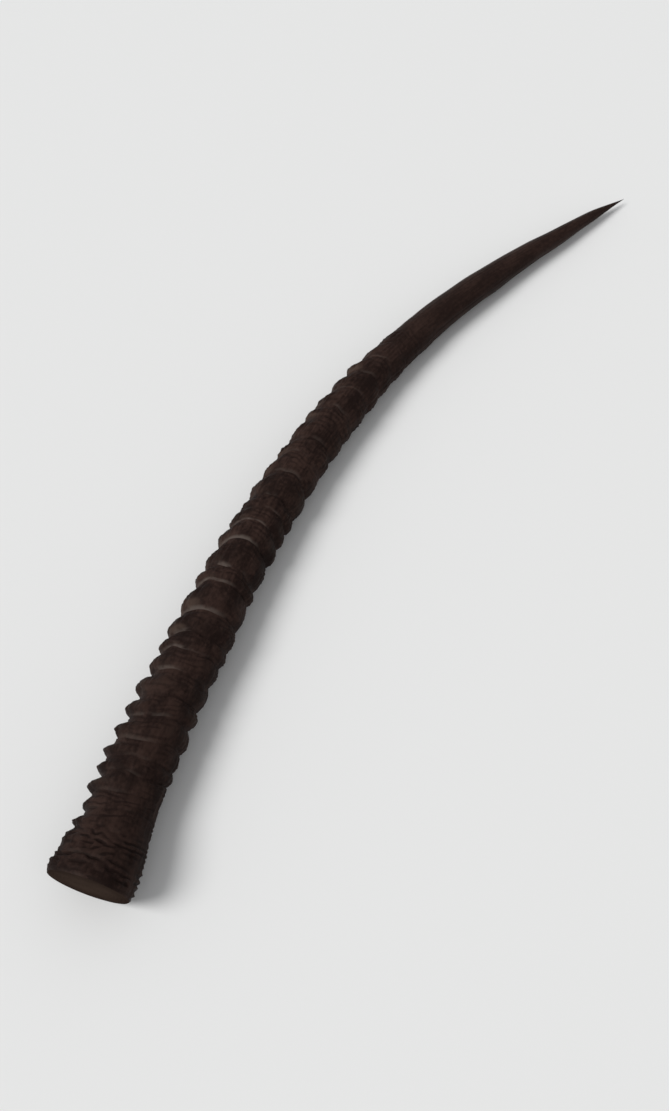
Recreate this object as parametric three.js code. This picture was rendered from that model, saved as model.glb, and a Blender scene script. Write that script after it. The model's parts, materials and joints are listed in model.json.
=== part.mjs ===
// A gemsbok horn, sawn off square at the hairline and lying on its inner side.
//
// Millimetres, +Z up. The saw cut is at the -Y end and the tip at the +Y end. The front of the horn, which is
// the outside of its curve and has the strongest rings, faces -X. The origin is on the surface that the horn
// lies on, below the middle of its box.
import * as THREE from 'three';

// Length and curve: the horn leaves the cut straight, bends most past its middle and is straight at the tip.
const LENGTH = 836; // along the centreline
const BASE_HEADING = 105.5; // degrees from +X, of the centreline at the cut
const TOTAL_BEND = 36.9; // degrees, from the cut to the tip
const BEND_POWER = 2.05; // the higher, the nearer the bend is to the tip
const TIP_LIFT = 5; // the tip's height off the surface
const TIP_LIFT_POWER = 6; // high, so that only the last quarter leaves the surface

// Girth: front to back, halfway between the crests and the grooves of the rings.
const SHAFT_DEPTH = 51.5; // of the shaft at the cut, not counting the flare
const TAPER_START = 1.3; // the higher, the later the taper starts
const TAPER_POINT = 0.58; // the lower, the fuller the upper half
const POINT_POWER = 20; // the higher, the shorter the slender point
const FLARE = 11.5; // what the flared foot adds at the cut
const FLARE_REACH = 38; // how far up the flare falls to about a third
const SIDE_FLATNESS = 0.09; // how much narrower than deep the horn is at the cut; the tip is round

// Rings: each starts in a groove, rises to a crest and falls off to the next groove.
const RINGS = 27;
const FIRST_PITCH = 15; // of the ring at the cut
const PITCH_GROWTH = 0.0165; // what each millimetre further on adds to the pitch
const LOW_CREST = 0.28; // where the crest is in a low ring, as a share of the pitch
const HIGH_CREST = 0.5; // and in a high ring
const LAST_LOW_CREST = 11; // the crests move up from this ring on
const FIRST_HIGH_CREST = 17; // to this one
const FRONT_RELIEF = 5.8; // crest over groove, on the front of the lower rings
const BACK_RELIEF = 4; // and on their backs
const SIDE_SHARE = 0.3; // of the front's relief that is left on the sides
const LAST_LOW_RING = 4; // the relief on the front falls from this ring on
const LAST_LOW_BACK = 12; // and that on the back from this one
const HIGH_SHARE = 0.45; // of the lower rings' relief that is left at the highest
const FOOT_SHARE = 0.2; // of it that the rings of the foot have on the front
const FOOT_END = 10; // where the rings start to grow out of the front of the foot
const FULL_RINGS = 32; // where they have their full relief there
const BACK_START = 40; // where they start to grow on the back
const BACK_FULL = 105; // where they have their full relief there
const RIPPLES = 4; // faint rings past the last real one
const RIPPLE_SHARE = 0.5; // of the relief of the one before that each ripple has
const SHOULDER_PLACE = 0.45; // of the way from a groove to a crest
const SHOULDER_HEIGHT = 0.7; // of the crest's height, which makes the rings round and the grooves sharp

// Mesh
const SIDES = 24;
const CENTRELINE_STEP = 1;
const SMOOTH_SECTIONS = 28; // of the part past the ripples, closing up towards the tip

const { degToRad, lerp, smoothstep } = THREE.MathUtils;

function headingAt(along) {
  return degToRad(BASE_HEADING - TOTAL_BEND * Math.sin((Math.PI / 2) * (along / LENGTH) ** BEND_POWER));
}

/** The points of the centreline in plan, a step apart, from the cut to the tip. */
function planOfCentreline() {
  const points = [new THREE.Vector2(0, 0)];
  for (let along = CENTRELINE_STEP / 2; along < LENGTH; along += CENTRELINE_STEP) {
    const heading = headingAt(along);
    const step = new THREE.Vector2(Math.cos(heading), Math.sin(heading)).multiplyScalar(CENTRELINE_STEP);
    points.push(step.add(points.at(-1)));
  }
  return points;
}

/** The point of the plan that is `along` millimetres from the cut. */
function placeInPlan(plan, along) {
  const before = Math.min(Math.floor(along / CENTRELINE_STEP), plan.length - 2);
  const rest = along / CENTRELINE_STEP - before;
  return plan[before].clone().lerp(plan[before + 1], rest);
}

/** Half the front-to-back depth, halfway between crest and groove: a taper, a slender point and a flare. */
function meanRadius(along) {
  const share = along / LENGTH;
  const shaft = SHAFT_DEPTH * (1 - share ** TAPER_START) ** TAPER_POINT * Math.sqrt(1 - share ** POINT_POWER);
  return (shaft + FLARE * Math.exp(-((along / FLARE_REACH) ** 2))) / 2;
}

/** The width across the curve, as a share of the depth. */
function sideShare(along) {
  return 1 - SIDE_FLATNESS * (1 - along / LENGTH);
}

/** Where a ring starts; the pitch grows evenly with the distance from the cut. */
function ringStart(ring) {
  return (FIRST_PITCH / PITCH_GROWTH) * (Math.exp(PITCH_GROWTH * ring) - 1);
}

/** Crest over groove, on the front and on the back of a ring. */
function ringRelief(ring) {
  const start = ringStart(ring);
  const left = RIPPLE_SHARE ** Math.max(0, ring - RINGS + 1);
  const front = lerp(1, HIGH_SHARE, smoothstep(ring, LAST_LOW_RING, RINGS)) * left;
  const back = lerp(1, HIGH_SHARE, smoothstep(ring, LAST_LOW_BACK, RINGS)) * left;
  return {
    front: FRONT_RELIEF * front * lerp(FOOT_SHARE, 1, smoothstep(start, FOOT_END, FULL_RINGS)),
    back: BACK_RELIEF * back * smoothstep(start, BACK_START, BACK_FULL),
  };
}

/** The relief where `frontness` is 1 at the front, 0 on the sides and -1 at the back. */
function reliefAt(relief, frontness) {
  return lerp(SIDE_SHARE * relief.front, frontness > 0 ? relief.front : relief.back, frontness ** 2);
}

/** One section: how far along, its radius, its ring's relief, and its height from groove 0 to crest 1. */
function section(along, relief, height) {
  return { along, radius: meanRadius(along), relief, height };
}

/** The four sections of a ring: in the groove, on the rising shoulder, on the crest, on the far shoulder. */
function ringSections(ring) {
  const start = ringStart(ring);
  const end = ringStart(ring + 1);
  const crestPlace = lerp(LOW_CREST, HIGH_CREST, smoothstep(ring, LAST_LOW_CREST, FIRST_HIGH_CREST));
  const crest = lerp(start, end, crestPlace);
  const relief = ringRelief(ring);
  return [
    section(start, relief, 0),
    section(lerp(start, crest, SHOULDER_PLACE), relief, SHOULDER_HEIGHT),
    section(crest, relief, 1),
    section(lerp(end, crest, SHOULDER_PLACE), relief, SHOULDER_HEIGHT),
  ];
}

const NO_RELIEF = { front: 0, back: 0 };

/** All sections from the middle of the cut to the point of the tip. */
function hornSections() {
  const sections = [{ ...section(0, ringRelief(0), 0), radius: 0 }];
  for (let ring = 0; ring < RINGS + RIPPLES; ring += 1) {
    sections.push(...ringSections(ring));
  }
  const smoothStart = ringStart(RINGS + RIPPLES);
  for (let i = 0; i <= SMOOTH_SECTIONS; i += 1) {
    const toGo = (1 - i / SMOOTH_SECTIONS) ** 2;
    sections.push(section(lerp(LENGTH, smoothStart, toGo), NO_RELIEF, 0));
  }
  return sections;
}

/** Moves the sections of a straight horn to their places on the curve, and gives them their rings. */
function layDown(geometry, sections) {
  const plan = planOfCentreline();
  const position = geometry.attributes.position;
  for (let i = 0; i < position.count; i += 1) {
    const { along, radius, relief, height } = sections[i % sections.length];
    const across = new THREE.Vector2(position.getX(i), position.getZ(i));
    if (radius > 0) {
      across.setLength(radius + (height - 0.5) * reliefAt(relief, -across.x / radius));
    }
    const foot = placeInPlan(plan, along);
    const heading = headingAt(along);
    const highest = meanRadius(along) + 0.5 * SIDE_SHARE * relief.front;
    const rest = highest * sideShare(along) + TIP_LIFT * (along / LENGTH) ** TIP_LIFT_POWER;
    position.setXYZ(
      i,
      foot.x + across.x * Math.sin(heading),
      foot.y - across.x * Math.cos(heading),
      rest + across.y * sideShare(along),
    );
  }
  geometry.computeVertexNormals();
}

/** Rests the geometry on the level of the origin, with the middle of its box above the origin. */
function putOnOrigin(geometry) {
  geometry.computeBoundingBox();
  const middle = geometry.boundingBox.getCenter(new THREE.Vector3());
  geometry.translate(-middle.x, -middle.y, -geometry.boundingBox.min.z);
}

/** The horn: a straight ringed cone turned about its axis, then bent. */
function hornGeometry() {
  const sections = hornSections();
  const profile = sections.map(({ along, radius }) => new THREE.Vector2(radius, along));
  const geometry = new THREE.LatheGeometry(profile, SIDES);
  layDown(geometry, sections);
  putOnOrigin(geometry);
  return geometry;
}

const keratin = new THREE.MeshStandardMaterial({ color: 0x26201c, roughness: 0.5, metalness: 0 });
const horn = new THREE.Mesh(hornGeometry(), keratin);
horn.name = 'horn';

const part = new THREE.Group();
part.add(horn);

export default part;
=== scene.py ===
import json
import math

import bpy
import numpy as np
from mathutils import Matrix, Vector


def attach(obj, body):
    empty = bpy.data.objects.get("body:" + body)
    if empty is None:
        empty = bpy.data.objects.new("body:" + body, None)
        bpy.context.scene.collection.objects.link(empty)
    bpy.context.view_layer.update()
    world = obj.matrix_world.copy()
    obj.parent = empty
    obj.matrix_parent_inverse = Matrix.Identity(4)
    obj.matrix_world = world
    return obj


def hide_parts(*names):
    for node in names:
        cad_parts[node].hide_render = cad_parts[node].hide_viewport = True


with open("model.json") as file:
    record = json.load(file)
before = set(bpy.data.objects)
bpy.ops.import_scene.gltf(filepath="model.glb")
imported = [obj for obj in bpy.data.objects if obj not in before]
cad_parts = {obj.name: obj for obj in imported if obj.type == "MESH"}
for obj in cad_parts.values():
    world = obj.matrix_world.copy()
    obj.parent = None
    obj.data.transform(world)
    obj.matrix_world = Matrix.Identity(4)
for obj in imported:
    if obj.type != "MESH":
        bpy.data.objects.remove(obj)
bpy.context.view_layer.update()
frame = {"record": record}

# ---------------------------------------------------------------------------------------------------------
# The horn: one growth of keratin. The skin lays it down at the base, cone inside cone, and pushes the older
# cones out, so the smooth tip is the oldest part and the wrinkled foot the youngest, and the bulge of every
# spell of growth stays as a ring. It is sawn off square at the foot, and lies on its inner side.

LENGTH = 0.836  # along the centreline, from the cut to the tip
TOTAL_BEND = math.radians(36.9)  # from the cut to the tip
BEND_POWER = 2.05  # the higher, the nearer the bend is to the tip
TIP_LIFT = 0.005  # the tip's height off the surface
TIP_LIFT_POWER = 6  # high, so that only the last quarter leaves the surface
SHAFT_DEPTH = 0.0515  # front to back at the cut, not counting the flare
TAPER_START = 1.3  # the higher, the later the taper starts
TAPER_POINT = 0.58  # the lower, the fuller the upper half
POINT_POWER = 20  # the higher, the shorter the slender point
FLARE = 0.0115  # what the flared foot adds at the cut
FLARE_REACH = 0.038  # how far up the flare falls to about a third
SIDE_FLATNESS = 0.10  # how much narrower than deep the horn is at the cut; the tip is round
CENTRELINE_STEPS = 1672

saw_cut = frame["record"]["mounts"][0]
base_heading = math.atan2(-saw_cut["axis"][1], -saw_cut["axis"][0])


def blend(low, high, share):
    """The value that is `share` of the way from low to high."""
    return low + (high - low) * share


def ease(low, high, value):
    """0 below low, 1 above high, and between them 3s^2 - 2s^3, where s is the share of the way."""
    share = np.clip((value - low) / (high - low), 0, 1)
    return share * share * (3 - 2 * share)


def heading(along):
    """The direction of the centreline in plan: it bends as a quarter sine wave of a power of `along`."""
    return base_heading - TOTAL_BEND * np.sin(np.pi / 2 * np.clip(along / LENGTH, 0, 1) ** BEND_POWER)


def centreline(along):
    """The centreline in plan: the running sum of short steps, each in the heading at its middle."""
    step = LENGTH / CENTRELINE_STEPS
    middles = np.arange(step / 2, LENGTH, step)
    ends = np.arange(len(middles) + 1) * step
    x = np.concatenate([[0], np.cumsum(np.cos(heading(middles)) * step)]) + saw_cut["pos_m"][0]
    y = np.concatenate([[0], np.cumsum(np.sin(heading(middles)) * step)]) + saw_cut["pos_m"][1]
    return np.interp(along, ends, x), np.interp(along, ends, y)


def mean_radius(along):
    """Half the depth, between lip and groove: a taper, a slender point and a bell-shaped flare."""
    share = np.clip(along / LENGTH, 0, 1)
    shaft = SHAFT_DEPTH * (1 - share**TAPER_START) ** TAPER_POINT * np.sqrt(1 - share**POINT_POWER)
    return (shaft + FLARE * np.exp(-((along / FLARE_REACH) ** 2))) / 2


def side_share(along):
    """The width across the curve as a share of the depth: a little flat at the foot, round at the tip."""
    return 1 - SIDE_FLATNESS * (1 - along / LENGTH)


# Rings. Each starts in a groove, rises to a lip and falls off to the next groove. On the front, a low ring
# has a short rise and a lip that slopes and then drops; higher up the lips are in the middle. On the back
# the rings are round, with sharp grooves. The two of the foot are low swells. LATE is how much farther up
# than its turn each ring starts, as a share of the pitch, and STRENGTH is how strongly it grew.
RINGS = 27
FOOT_RINGS = 2
RIPPLES = 4  # faint rings past the last real one
FIRST_PITCH = 0.015  # of the ring at the cut
PITCH_GROWTH = 0.0165  # what each metre further on adds to the pitch
LATE = (
    0, 0, 0.3, 0.3, 0.1, 0.1, -0.1, -0.2, 0,
    0, 0.2, 0.2, 0, 0.1, 0.5, 0.2, 0.5, 0.5,
    0.3, -0.1, 0.1, 0.2, 0, 0.2, -0.2, -0.1, -0.2, -0.3,
)
STRENGTH = (
    1, 1.6, 0.7, 0.5, 1.1, 0.55, 0.8, 1, 0.9,
    1.1, 0.75, 0.8, 0.9, 1, 0.8, 0.6, 0.7, 0.7,
    0.4, 1, 0.9, 0.75, 0.65, 0.75, 0.7, 0.9, 1.5,
)

# How far the lips stand out of the grooves.
FRONT_RELIEF = 0.0068  # on the front of the lower rings
BACK_RELIEF = 0.0038  # and on their backs
BACK_STRENGTH = (0.45, 1.35)  # of the weakest and the strongest ring there
SIDE_SHARE = 0.3  # of the front's relief that is left on the sides
HIGH_SHARE = 0.55  # of the lower rings' relief that is left at the highest
LAST_LOW_RING = 4  # the relief on the front falls from this ring on
LAST_LOW_BACK = 12  # and that on the back from this one
FOOT_SHARE = 0.2  # of the relief on the front that the rings of the foot have
FOOT_END = 0.010  # where the rings start to grow out of the front of the foot
FULL_RINGS = 0.032  # where they have their full relief there
BACK_START = 0.040  # where they start to grow on the back
BACK_FULL = 0.105  # where they have their full relief there
RIPPLE_SHARE = 0.5  # of the relief of the one before that each ripple has
UNEVENNESS = 0.25  # how much stronger or weaker a ring may be from place to place
FRONT_LEVEL = 0.45  # the height in a ring that lies on the mean radius, on the front
BACK_LEVEL = 0.65  # and on the back

# Where the lip is in a ring, as a share of the pitch, and which rings it moves up over.
FOOT_LIP = 0.7
LOW_LIP = 0.36
HIGH_LIP = 0.5
BACK_LIP = 0.5
LIP_MOVES = (11, 17)

# The shape of a lip and of a ring. The drops are the shares of the fall between which a lip drops.
RISE_POWER = 1.5  # the higher, the rounder the rise to the lip
LIP_SLOPE = 0.5  # of its height that a lip loses by sloping alone
LOW_DROP = (0, 0.6)
HIGH_DROP = (0.35, 1)
DROP_START_MOVES = (4, 11)  # which rings the drop's start moves up over
DROP_END_MOVES = (6, 16)  # and its end
LIP_LEAN = 0.0010  # how far a low lip leans over towards the foot
LEAN_ENDS = (10, 16)  # which rings stop leaning
BACK_SLANT = 0.0055  # how much farther up a ring is on the back than on the front
CHEVRON = 0.007  # how much farther up a high ring is on its sides than in front
CHEVRON_GROWS = (7, 18)  # which rings it grows over
LONG_WANDER = 0.10  # of the pitch that a ring strays up and down, in long waves round the horn
SHORT_WANDER = 0.09  # and in short ones
FULL_WANDER = 0.030  # how far up from the cut the rings stray and slant in full
BACK_TO_FRONT = (0.25, 0.85)  # where a ring's outline turns into the front's, from 0 at the back to 1

# Good and bad years: where, how far to each side and by how much the horn is deeper than its taper. Then
# where, how far and by how much it lies behind its curve.
SWELLINGS = (
    (0.015, 0.020, 0.0013), (0.095, 0.028, 0.0016), (0.202, 0.020, 0.0012),
    (0.445, 0.035, 0.0009), (0.660, 0.060, 0.0007), (0.795, 0.018, 0.0007),
)
SETBACKS = (
    (0.030, 0.030, 0.0014), (0.095, 0.025, -0.0012), (0.210, 0.075, 0.0017),
    (0.355, 0.085, 0.0010), (0.690, 0.080, 0.0021), (0.750, 0.035, 0.0012),
)


def groove_place(ring):
    """Where a ring starts: the pitch grows evenly with the distance from the cut."""
    return FIRST_PITCH / PITCH_GROWTH * (np.exp(PITCH_GROWTH * ring) - 1)


def ring_at(along):
    """Which ring is at a place, with its fraction: the inverse of groove_place."""
    return np.log(along * PITCH_GROWTH / FIRST_PITCH + 1) / PITCH_GROWTH


def bumps(kind, along):
    """The sum of bell-shaped bumps, each with its place, reach and size."""
    return sum(size * np.exp(-(((along - where) / reach) ** 2)) for where, reach, size in kind)


def wrinkle(seed, down, around, cells):
    """Random heights from -1 to 1: a seeded lattice, `cells` round the horn, eased between its points."""
    across = around / (2 * np.pi) * cells
    i = np.floor(down).astype(int)
    j = np.floor(across).astype(int)
    lattice = np.random.default_rng(seed).uniform(-1, 1, (i.max() + 2, cells))
    left = j % cells
    right = (j + 1) % cells
    turn = ease(0, 1, across - j)
    low = blend(lattice[i, left], lattice[i, right], turn)
    high = blend(lattice[i + 1, left], lattice[i + 1, right], turn)
    return blend(low, high, ease(0, 1, down - i))


# The surface is a grid. Its rows follow the rings, so that every lip and groove stays sharp where the rings
# wander: `up` is how much of the rise to the lip is done and `down` how much of the fall, each from 0 to 1.
SIDES = 180
RISE_ROWS = 5
FALL_ROWS = 11
TIP_ROWS = 44
TIP_CROWDING = 1.6  # the higher, the closer the rows are at the tip
RIM = 0.0006  # of the edge of the cut that is rounded off
ROWS_PER_RING = RISE_ROWS + FALL_ROWS

ring_count = RINGS + RIPPLES
rise_steps = np.arange(RISE_ROWS) / RISE_ROWS
fall_steps = np.arange(FALL_ROWS) / FALL_ROWS
tip_steps = 1 - (1 - np.arange(TIP_ROWS) / TIP_ROWS) ** TIP_CROWDING
up = np.concatenate([np.tile(np.append(rise_steps, np.ones(FALL_ROWS)), ring_count), np.ones(TIP_ROWS)])
down = np.concatenate([np.tile(np.append(np.zeros(RISE_ROWS), fall_steps), ring_count), tip_steps])
number = np.append(np.repeat(np.arange(ring_count), ROWS_PER_RING), np.full(TIP_ROWS, ring_count))
around = np.arange(SIDES) * 2 * np.pi / SIDES

up, down, number = up[:, None], down[:, None], number[:, None]
around = around[None, :]
front = (1 + np.cos(around)) / 2

late = np.append(LATE, np.full(RIPPLES, LATE[-1]))
strength = np.append(STRENGTH, np.ones(RIPPLES + 1))[number]
in_foot = number < FOOT_RINGS

# Where each point of the grid lies along the horn.
grooves = groove_place(np.arange(ring_count + 1) + late)
grooves = np.append(grooves, LENGTH)
front_lip = np.where(in_foot, FOOT_LIP, blend(LOW_LIP, HIGH_LIP, ease(*LIP_MOVES, number)))
lip_place = blend(BACK_LIP, front_lip, front**2) * (number < ring_count)
place = lip_place * up + (1 - lip_place) * down
even = blend(grooves[number], grooves[number + 1], place)
ring = ring_at(even)
on_rings = 1 - ease(RINGS - 1, ring_count, ring)
off_cut = ease(0, FULL_WANDER, even)
pitch = FIRST_PITCH * np.exp(PITCH_GROWTH * ring)
drop_start = blend(LOW_DROP[0], HIGH_DROP[0], ease(*DROP_START_MOVES, number))
drop_end = blend(LOW_DROP[1], HIGH_DROP[1], ease(*DROP_END_MOVES, number))
fall = (1 - LIP_SLOPE * down) * (1 - ease(drop_start, drop_end, down))
at_front = np.where(down > 0, fall, 1 - (1 - up) ** RISE_POWER)
at_back = 1 - (1 - up) ** 2 - down**2
frontness = ease(*BACK_TO_FRONT, front)
outline = blend(at_back, at_front, frontness)
wander = LONG_WANDER * wrinkle(11, ring / 1.7, around, 5) + SHORT_WANDER * wrinkle(12, ring, around, 13)
lean = LIP_LEAN * outline**3 * front * (1 - ease(*LEAN_ENDS, number))
chevron = CHEVRON * np.sin(around) ** 2 * ease(*CHEVRON_GROWS, ring)
along = even + off_cut * on_rings * (pitch * wander + BACK_SLANT * (1 - front) + chevron - lean)

# How far each point stands out from the mean radius.
rest_of_rings = RIPPLE_SHARE ** np.clip(number - RINGS + 1, 0, None) * (number < ring_count)
front_relief = FRONT_RELIEF * blend(1, HIGH_SHARE, ease(LAST_LOW_RING, RINGS, number)) * strength
front_relief = front_relief * blend(FOOT_SHARE, 1, ease(FOOT_END, FULL_RINGS, groove_place(number)))
front_relief = front_relief * rest_of_rings
back_relief = BACK_RELIEF * blend(1, HIGH_SHARE, ease(LAST_LOW_BACK, RINGS, number))
back_relief = back_relief * ease(BACK_START, BACK_FULL, groove_place(number)) * rest_of_rings
back_relief = back_relief * np.random.default_rng(7).uniform(*BACK_STRENGTH, ring_count + 1)[number]
reached = np.where(np.cos(around) > 0, front_relief, back_relief)
relief = blend(SIDE_SHARE * front_relief, reached, np.cos(around) ** 2)
relief = relief * (1 + UNEVENNESS * wrinkle(13, ring / 1.4, around, 7))
stands = (outline - blend(BACK_LEVEL, FRONT_LEVEL, frontness)) * relief


def waves(seed, turns, around, cells, cover):
    """Wavy lines round the horn, from -1 to 1: a sine of `turns`, pushed to and fro and faded in places.

    The higher `cover` is, from 0 to 1, the fewer places are bare."""
    pushed = turns + 0.7 * wrinkle(seed, turns / 3, around, cells)
    pushed = pushed + 0.3 * wrinkle(seed + 50, turns, around, 4 * cells)
    fade = np.clip(cover + 0.9 * wrinkle(seed + 100, turns, around, 3 * cells), 0, 1)
    return np.sin(2 * np.pi * pushed) * fade


# Small growth: folds of the foot and finer ones of the rings, flutes along the shaft, knurls and chips on
# the lips, and slow swells.
FOOT_FOLD = 0.0012
FOOT_FOLD_PITCH = 0.0048
FOOT_FOLDS_END = (0.028, 0.050)  # where the foot's folds give way to the rings'
FOOT_COVER = 0.75
RING_FOLD = 0.0005
FOLDS_PER_RING = 4.3
RING_COVER = 0.45
CUT_MARGIN = 0.004  # how far up from the cut the folds are in full
SMOOTH_TIP = 0.85  # the share of the length past which flutes and swells die out
FLUTE = 0.00022
FLUTES = 56
FLUTE_LENGTH = 0.03
KNURL = 0.0008
KNURLS = 64
CHIP = 0.0009
CHIPS = 40
SWELL = 0.0005
SWELL_LENGTH = 0.020

at_foot = 1 - ease(*FOOT_FOLDS_END, along)
foot_folds = waves(14, along / FOOT_FOLD_PITCH, around, 9, FOOT_COVER)
ring_folds = waves(15, ring * FOLDS_PER_RING, around, 7, RING_COVER)
fold = blend(on_rings * ring_folds, foot_folds, at_foot)
stands = stands + ease(0, CUT_MARGIN, along) * blend(RING_FOLD, FOOT_FOLD, at_foot) * fold
to_tip = 1 - ease(SMOOTH_TIP, 1, along / LENGTH)
stands = stands + FLUTE * wrinkle(19, along / FLUTE_LENGTH, around, FLUTES) * blend(1, 0.4, front) * to_tip
knurls = KNURL * wrinkle(16, ring * 0.7, around, KNURLS) * blend(0.5, 1, frontness)
stands = stands + on_rings * outline**2 * knurls
chips = CHIP * ease(0.45, 0.8, wrinkle(17, ring * 2, around, CHIPS)) * blend(0.4, 1, front)
stands = stands - on_rings * outline**3 * chips * (1 - at_foot)
stands = stands + SWELL * wrinkle(18, along / SWELL_LENGTH, around, 5) * to_tip
stands = stands + bumps(SWELLINGS, along) * np.cos(around) ** 2
stands = stands - RIM * (1 - ease(0, RIM, along))

radius = mean_radius(along) + stands
highest = mean_radius(along) + 0.5 * SIDE_SHARE * front_relief
rest = highest * side_share(along) + TIP_LIFT * np.clip(along / LENGTH, 0, 1) ** TIP_LIFT_POWER
middle_x, middle_y = centreline(along)
turned = heading(along)
forwards = radius * np.cos(around) - bumps(SETBACKS, along)
shell = np.stack([
    middle_x - forwards * np.sin(turned),
    middle_y + forwards * np.cos(turned),
    rest + radius * np.sin(around) * side_share(along),
], axis=-1)
straight = np.stack([radius * np.cos(around), radius * np.sin(around), along], axis=-1)

# The saw cut closes the foot with a flat face, and a single point closes the tip.
FACE_ROWS = 6

inwards = (np.arange(1, FACE_ROWS) / FACE_ROWS)[:, None, None]
centre = np.array([*saw_cut["pos_m"][:2], shell[0, :, 2].mean()])
face = centre + (shell[0] - centre) * inwards
tip = [[*centreline(LENGTH), TIP_LIFT]]
points = np.concatenate([centre[None], face.reshape(-1, 3), shell.reshape(-1, 3), tip])
points[:, 2] -= points[:, 2].min()
straight_face = straight[0] * inwards * [1, 1, 0]
straight_parts = [[[0, 0, 0]], straight_face.reshape(-1, 3), straight.reshape(-1, 3), [[0, 0, LENGTH]]]

rows = FACE_ROWS - 1 + len(shell)
side = np.arange(SIDES)
first = 1 + np.arange(rows - 1)[:, None] * SIDES + side
beside = 1 + np.arange(rows - 1)[:, None] * SIDES + (side + 1) % SIDES
quads = np.stack([first, beside, beside + SIDES, first + SIDES], axis=-1).reshape(-1, 4)
cap = np.stack([np.zeros(SIDES, int), 1 + (side + 1) % SIDES, 1 + side], axis=-1)
last = 1 + (rows - 1) * SIDES
point = np.stack([last + side, last + (side + 1) % SIDES, np.full(SIDES, len(points) - 1)], axis=-1)

mesh = bpy.data.meshes.new("horn_surface")
mesh.from_pydata(points.tolist(), [], quads.tolist() + cap.tolist() + point.tolist())
mesh.update()
horn = bpy.data.objects.new("horn_surface", mesh)
bpy.context.scene.collection.objects.link(horn)
mesh.shade_smooth()
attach(horn, "root")
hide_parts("horn")

# What the finish follows, kept on the points: the place on the straight horn, how far from a groove it is,
# how much of a lip it is, how deep in a fold, and the painted light and shade of the rings, from 1 on the
# rises, which are painted lit, to -1 on the falls, which are painted in shade. The pale dust, partly a
# painted highlight, lies on the rises, so a fall counts as farther from its groove.
FALL_IS_FARTHER = 4
NO_GROOVE = 0.01  # the distance where there are no rings
PAINTED_LIGHT_FRONT = (0.45, 0.90)  # how far forward the painted light and shade start and are full
PAINTED_LIGHT_FROM = (0.10, 0.20)  # and how far up from the cut

to_next = FALL_IS_FARTHER * (1 - place) * pitch
from_groove = np.where(down > 0, to_next, place * pitch) + (1 - on_rings) * NO_GROOVE
lip = np.clip(outline, 0, 1) ** 3 * np.clip(relief / FRONT_RELIEF, 0, 1)
# Painted light on the rises and painted shade on the falls, on the front and from a little way up.
lit_rise_shaded_fall = np.where(down > 0, -np.sin(np.pi * down**0.7), np.sin(np.pi * up**0.8))
lit_rise_shaded_fall = lit_rise_shaded_fall * ease(*PAINTED_LIGHT_FRONT, front) * ease(*PAINTED_LIGHT_FROM, along)
lit_rise_shaded_fall = lit_rise_shaded_fall * np.clip(strength, 0, 1) * rest_of_rings


def keep_on_points(name, kind, values):
    """Stores one value or vector for each point of the mesh, under a name that a material can read."""
    held = mesh.attributes.new(name, kind, "POINT")
    held.data.foreach_set("vector" if kind == "FLOAT_VECTOR" else "value", values.ravel())


def with_ends(values, at_ends=0.0):
    """The grid's values, with one value for all the points of the saw cut and for the tip's."""
    return np.concatenate([np.full(1 + (FACE_ROWS - 1) * SIDES, at_ends), values.ravel(), [at_ends]])


keep_on_points("straight_horn", "FLOAT_VECTOR", np.concatenate(straight_parts))
keep_on_points("from_groove", "FLOAT", with_ends(from_groove, NO_GROOVE))
keep_on_points("lip", "FLOAT", with_ends(lip))
keep_on_points("fold", "FLOAT", with_ends(fold))
keep_on_points("lit_rise_shaded_fall", "FLOAT", with_ends(lit_rise_shaded_fall))


def node(tree, kind, inputs, **settings):
    """Adds a shader node. Each input is its socket's value, or another node's output that feeds it."""
    made = tree.nodes.new(kind)
    for name, value in settings.items():
        setattr(made, name, value)
    for name, value in inputs.items():
        if isinstance(value, bpy.types.NodeSocket):
            tree.links.new(value, made.inputs[name])
        else:
            made.inputs[name].default_value = value
    return made


def grain(tree, coordinates, stretch, detail=3.0, roughness=0.55):
    """Noise from 0 to 1, with `stretch` cells to the metre along each of the three directions."""
    scaled = node(tree, "ShaderNodeVectorMath", {0: coordinates, 1: stretch}, operation="MULTIPLY")
    sizes = {"Vector": scaled.outputs[0], "Scale": 1.0, "Detail": detail, "Roughness": roughness}
    return node(tree, "ShaderNodeTexNoise", sizes).outputs["Fac"]


def between(tree, value, low, high, to_low=0.0, to_high=1.0):
    """The value eased from to_low, where it is below low, up to to_high, where it is above high."""
    sizes = {"Value": value, "From Min": low, "From Max": high, "To Min": to_low, "To Max": to_high}
    return node(tree, "ShaderNodeMapRange", sizes, interpolation_type="SMOOTHSTEP").outputs[0]


def product(tree, one, other):
    """One times the other."""
    return node(tree, "ShaderNodeMath", {0: one, 1: other}, operation="MULTIPLY").outputs[0]


def total(tree, one, other):
    """One plus the other."""
    return node(tree, "ShaderNodeMath", {0: one, 1: other}, operation="ADD").outputs[0]


def mixed_colour(tree, share, one, other):
    """The colour one where the share is 0 and the other where it is 1."""
    return node(tree, "ShaderNodeMix", {0: share, 6: one, 7: other}, data_type="RGBA").outputs[2]


def mixed_value(tree, share, one, other):
    """The value one where the share is 0 and the other where it is 1."""
    return node(tree, "ShaderNodeMix", {0: share, 2: one, 3: other}, data_type="FLOAT").outputs[0]


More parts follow.
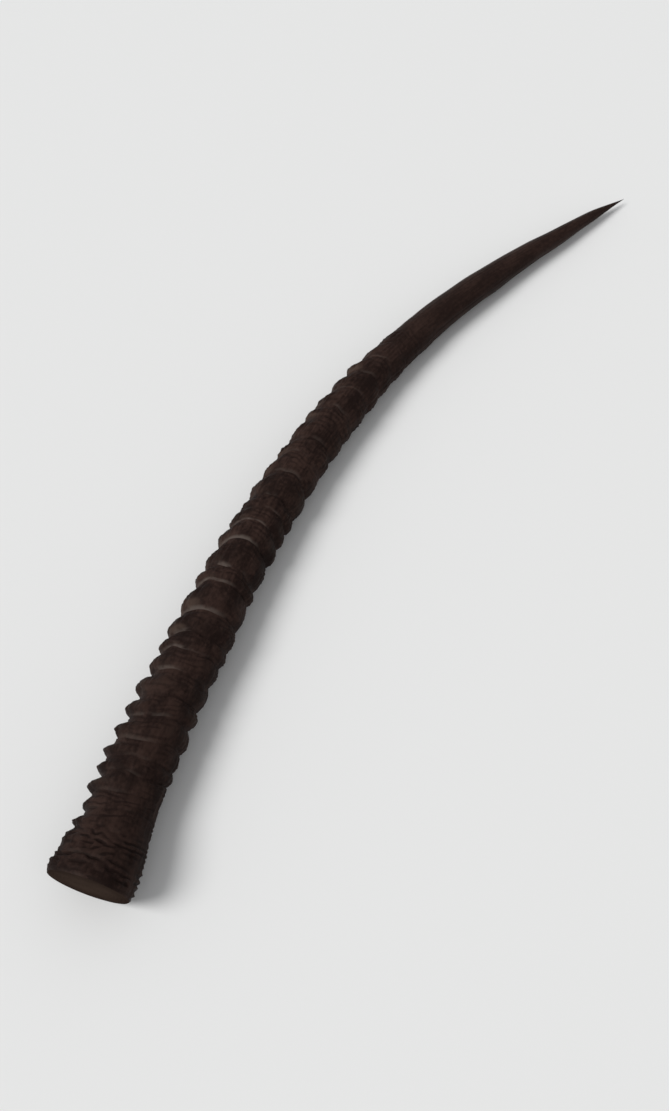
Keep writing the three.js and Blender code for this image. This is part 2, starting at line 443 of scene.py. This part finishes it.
# Keratin fibres run the length of the horn and fine growth lines run round it. The whole is mottled, which
# shows on the saw cut too.
fibres = bpy.data.node_groups.new("fibres", "ShaderNodeTree")
fibres.interface.new_socket("Straight Horn", in_out="INPUT", socket_type="NodeSocketVector")
fibres.interface.new_socket("Streak", in_out="OUTPUT", socket_type="NodeSocketFloat")
fibres.interface.new_socket("Mottle", in_out="OUTPUT", socket_type="NodeSocketFloat")
fibres.interface.new_socket("Height", in_out="OUTPUT", socket_type="NodeSocketFloat")
group_in = fibres.nodes.new("NodeGroupInput").outputs[0]
streak = grain(fibres, group_in, (700, 700, 22), detail=4)
growth_lines = grain(fibres, group_in, (60, 60, 900), detail=2)
mottle = grain(fibres, group_in, (55, 55, 30), detail=4)
pits = grain(fibres, group_in, (1100, 1100, 700), detail=2)
height = total(fibres, product(fibres, streak, 0.9), product(fibres, growth_lines, 0.4))
height = total(fibres, height, product(fibres, pits, 0.5))
node(fibres, "NodeGroupOutput", {"Streak": streak, "Mottle": mottle, "Height": height})

BLACK_BROWN = (0.0112, 0.0063, 0.0054, 1)
WARM_BROWN = (0.0370, 0.0208, 0.0166, 1)
WORN = (0.034, 0.024, 0.0195, 1)
# The next colour is a painted highlight for the lit rises.
PAINTED_RISE_LIGHT = (0.068, 0.046, 0.036, 1)
# The next colour is pale dust that is partly a painted highlight.
DUST_AND_HIGHLIGHT = (0.105, 0.084, 0.072, 1)

keratin = bpy.data.materials.new("keratin")
keratin.use_nodes = True
tree = keratin.node_tree
on_horn = node(tree, "ShaderNodeAttribute", {}, attribute_name="straight_horn").outputs["Vector"]
groove = node(tree, "ShaderNodeAttribute", {}, attribute_name="from_groove").outputs["Fac"]
on_lip = node(tree, "ShaderNodeAttribute", {}, attribute_name="lip").outputs["Fac"]
distance = node(tree, "ShaderNodeSeparateXYZ", {0: on_horn}).outputs["Z"]
fibre = node(tree, "ShaderNodeGroup", {}, node_tree=fibres)
tree.links.new(on_horn, fibre.inputs[0])

# The tone is mottled at the foot, more streaked higher up and calm on the smooth tip, with painted shade
# where a fold dips.
more_streaks = between(tree, distance, 0.05, 0.45, 0.12, 0.35)
tone = mixed_value(tree, more_streaks, fibre.outputs["Mottle"], fibre.outputs["Streak"])
specks = grain(tree, on_horn, (420, 420, 300), detail=2)
tone = between(tree, mixed_value(tree, 0.25, tone, specks), 0.40, 0.62)
tone = mixed_value(tree, between(tree, distance, 0.42, 0.58, 0.0, 0.35), tone, 0.5)
# Painted shade: the tone is darkened where a fold dips, most at the foot.
folded = node(tree, "ShaderNodeAttribute", {}, attribute_name="fold").outputs["Fac"]
painted_fold_shade = between(tree, distance, 0.03, 0.08, 0.0, 0.5)
tone = product(tree, tone, mixed_value(tree, between(tree, folded, -0.6, 0.15), painted_fold_shade, 1.0))
colour = mixed_colour(tree, tone, BLACK_BROWN, WARM_BROWN)

# Lips are worn in spots. On the front of the rings, rises get a painted highlight in patches and falls a
# painted shade; the foot is darker.
worn_spots = between(tree, grain(tree, on_horn, (200, 200, 120)), 0.35, 0.65)
wear = product(tree, between(tree, on_lip, 0.15, 0.8), worn_spots)
colour = mixed_colour(tree, product(tree, wear, 0.6), colour, WORN)
rise_light_fall_shade = node(tree, "ShaderNodeAttribute", {}, attribute_name="lit_rise_shaded_fall").outputs["Fac"]
light_patches = between(tree, grain(tree, on_horn, (75, 75, 50)), 0.40, 0.58, 0.15, 1.0)
# Painted shade on the falls, then a painted highlight in patches on the rises.
colour = mixed_colour(tree, between(tree, rise_light_fall_shade, -0.1, -0.8, 0.0, 0.7), colour, BLACK_BROWN)
painted_rise_light = product(tree, between(tree, rise_light_fall_shade, 0.2, 0.9, 0.0, 0.65), light_patches)
colour = mixed_colour(tree, painted_rise_light, colour, PAINTED_RISE_LIGHT)
colour = mixed_colour(tree, between(tree, distance, 0.30, 0.10, 0.0, 0.22), colour, BLACK_BROWN)

# Pale dust, partly a painted highlight, lies in patches in the grooves at the start of each rise, with less
# of it at the foot, on the back, on the very front and on the upper rings.
near_groove = between(tree, groove, 0.0032, 0.0005)
patchy = between(tree, grain(tree, on_horn, (45, 45, 70)), 0.44, 0.60)
off_foot = between(tree, distance, 0.050, 0.260, 0.15, 1.0)
forward = node(tree, "ShaderNodeSeparateXYZ", {0: on_horn}).outputs["X"]
off_back = between(tree, forward, -0.017, 0.002, 0.1, 1.0)
off_edge = between(tree, forward, 0.026, 0.012, 0.4, 1.0)
dust_and_highlight = product(tree, product(tree, near_groove, patchy), product(tree, off_foot, off_back))
off_tip = between(tree, distance, 0.30, 0.40, 1.0, 0.3)
dust_and_highlight = product(tree, product(tree, dust_and_highlight, off_edge), off_tip)
# Pale dust and painted highlight, mixed in where the mask is.
colour = mixed_colour(tree, product(tree, dust_and_highlight, 0.75), colour, DUST_AND_HIGHLIGHT)

# The smooth tip is polished, worn lips shine a little and dust is dull.
polish = between(tree, distance, 0.45, 0.75)
rough = mixed_value(tree, polish, 0.62, 0.44)
rough = total(tree, rough, product(tree, total(tree, fibre.outputs["Streak"], -0.5), 0.25))
rough = mixed_value(tree, wear, rough, 0.5)
rough = mixed_value(tree, dust_and_highlight, rough, 0.95)
roughened = {"Height": fibre.outputs["Height"], "Strength": 0.5, "Distance": 0.0004}
bump = node(tree, "ShaderNodeBump", roughened)

shader = tree.nodes["Principled BSDF"]
shader.inputs["Specular IOR Level"].default_value = 0.06
shader.inputs["Specular Tint"].default_value = (1, 0.80, 0.70, 1)
tree.links.new(colour, shader.inputs["Base Color"])
tree.links.new(rough, shader.inputs["Roughness"])
tree.links.new(bump.outputs[0], shader.inputs["Normal"])
mesh.materials.append(keratin)

# The saw cut shows the keratin across the fibres: a dull, slightly paler face, palest in the middle, with
# faint layers as it grew and the straight scratches of the saw.
CUT_DARK = (0.014, 0.0088, 0.0070, 1)
CUT_PALE = (0.058, 0.0390, 0.0300, 1)

sawn = bpy.data.materials.new("sawn_keratin")
sawn.use_nodes = True
tree = sawn.node_tree
on_horn = node(tree, "ShaderNodeAttribute", {}, attribute_name="straight_horn").outputs["Vector"]
fibre = node(tree, "ShaderNodeGroup", {}, node_tree=fibres)
tree.links.new(on_horn, fibre.inputs[0])
layers = {"Vector": on_horn, "Scale": 110.0, "Distortion": 8.0, "Detail": 3.0, "Detail Scale": 0.4}
layer = node(tree, "ShaderNodeTexWave", layers, wave_type="RINGS", rings_direction="Z").outputs["Fac"]
scratch = grain(tree, on_horn, (30, 1500, 1), detail=2)
from_middle = node(tree, "ShaderNodeVectorMath", {0: on_horn}, operation="LENGTH").outputs["Value"]
heart = between(tree, from_middle, 0.029, 0.012)
tone = total(tree, product(tree, layer, 0.14), product(tree, fibre.outputs["Mottle"], 0.60))
tone = total(tree, tone, product(tree, heart, 0.25))
tone = total(tree, tone, product(tree, total(tree, scratch, -0.5), 0.5))
height = total(tree, product(tree, scratch, 0.7), product(tree, layer, 0.3))
bump = node(tree, "ShaderNodeBump", {"Height": height, "Strength": 0.6, "Distance": 0.0003})
shader = tree.nodes["Principled BSDF"]
shader.inputs["Roughness"].default_value = 0.95
shader.inputs["Specular IOR Level"].default_value = 0
tree.links.new(mixed_colour(tree, tone, CUT_DARK, CUT_PALE), shader.inputs["Base Color"])
tree.links.new(bump.outputs[0], shader.inputs["Normal"])
mesh.materials.append(sawn)

on_face = np.zeros(len(mesh.polygons), int)
on_face[:(FACE_ROWS - 1) * SIDES] = 1
on_face[len(quads):len(quads) + SIDES] = 1
mesh.polygons.foreach_set("material_index", on_face)
rim_start = 1 + (FACE_ROWS - 1) * SIDES
edge_ends = np.zeros(2 * len(mesh.edges), int)
mesh.edges.foreach_get("vertices", edge_ends)
on_rim = ((edge_ends >= rim_start) & (edge_ends < rim_start + SIDES)).reshape(-1, 2).all(axis=1)
mesh.attributes.new("sharp_edge", "BOOLEAN", "EDGE").data.foreach_set("value", on_rim)

# ---------------------------------------------------------------------------------------------------------
# The setting: a plain pale floor under a sky that looks as pale as it, soft light from the foot's side, and
# the camera.

FLOOR = 6.0
floor_mesh = bpy.data.meshes.new("floor")
corners = [(-FLOOR, -FLOOR, 0), (FLOOR, -FLOOR, 0), (FLOOR, FLOOR, 0), (-FLOOR, FLOOR, 0)]
floor_mesh.from_pydata(corners, [], [(0, 1, 2, 3)])
floor = bpy.data.objects.new("floor", floor_mesh)
bpy.context.scene.collection.objects.link(floor)
pale = bpy.data.materials.new("pale_floor")
pale.use_nodes = True
pale.node_tree.nodes["Principled BSDF"].inputs["Base Color"].default_value = (0.80, 0.80, 0.79, 1)
pale.node_tree.nodes["Principled BSDF"].inputs["Roughness"].default_value = 0.9
floor_mesh.materials.append(pale)

world = bpy.data.worlds.new("studio")
world.use_nodes = True
world.node_tree.nodes["Background"].inputs["Color"].default_value = (0.97, 0.98, 1.0, 1)
seen = node(world.node_tree, "ShaderNodeLightPath", {}).outputs["Is Camera Ray"]
brightness = mixed_value(world.node_tree, seen, 0.45, 0.80)
world.node_tree.links.new(brightness, world.node_tree.nodes["Background"].inputs["Strength"])
bpy.context.scene.world = world
bpy.context.scene.view_settings.view_transform = "Standard"


def soft_sun(name, place, angle, strength):
    """A far light that shines from `place` towards the origin, and is as soft as its angle is wide."""
    data = bpy.data.lights.new(name, "SUN")
    data.angle = math.radians(angle)
    data.energy = strength
    light = bpy.data.objects.new(name, data)
    light.rotation_euler = Vector(place).to_track_quat("Z", "Y").to_euler()
    bpy.context.scene.collection.objects.link(light)


soft_sun("key", (-0.8, -0.9, 1.5), 30, 2.2)

AZIMUTH = math.radians(33.6)
ELEVATION = math.radians(61)
DISTANCE = 1.0547
LOOK_AT = Vector((0.0323, -0.0845, 0.03))
FOCAL_PIXELS = 1313
FRAME_HEIGHT = 1111

camera_data = bpy.data.cameras.new("camera")
camera_data.sensor_width = 36
camera_data.lens = 36 * FOCAL_PIXELS / FRAME_HEIGHT
camera = bpy.data.objects.new("camera", camera_data)
level = math.cos(ELEVATION)
back = Vector((math.sin(AZIMUTH) * level, -math.cos(AZIMUTH) * level, math.sin(ELEVATION)))
camera.location = LOOK_AT + back * DISTANCE
camera.rotation_euler = (-back).to_track_quat("-Z", "Y").to_euler()
bpy.context.scene.collection.objects.link(camera)
bpy.context.scene.camera = camera
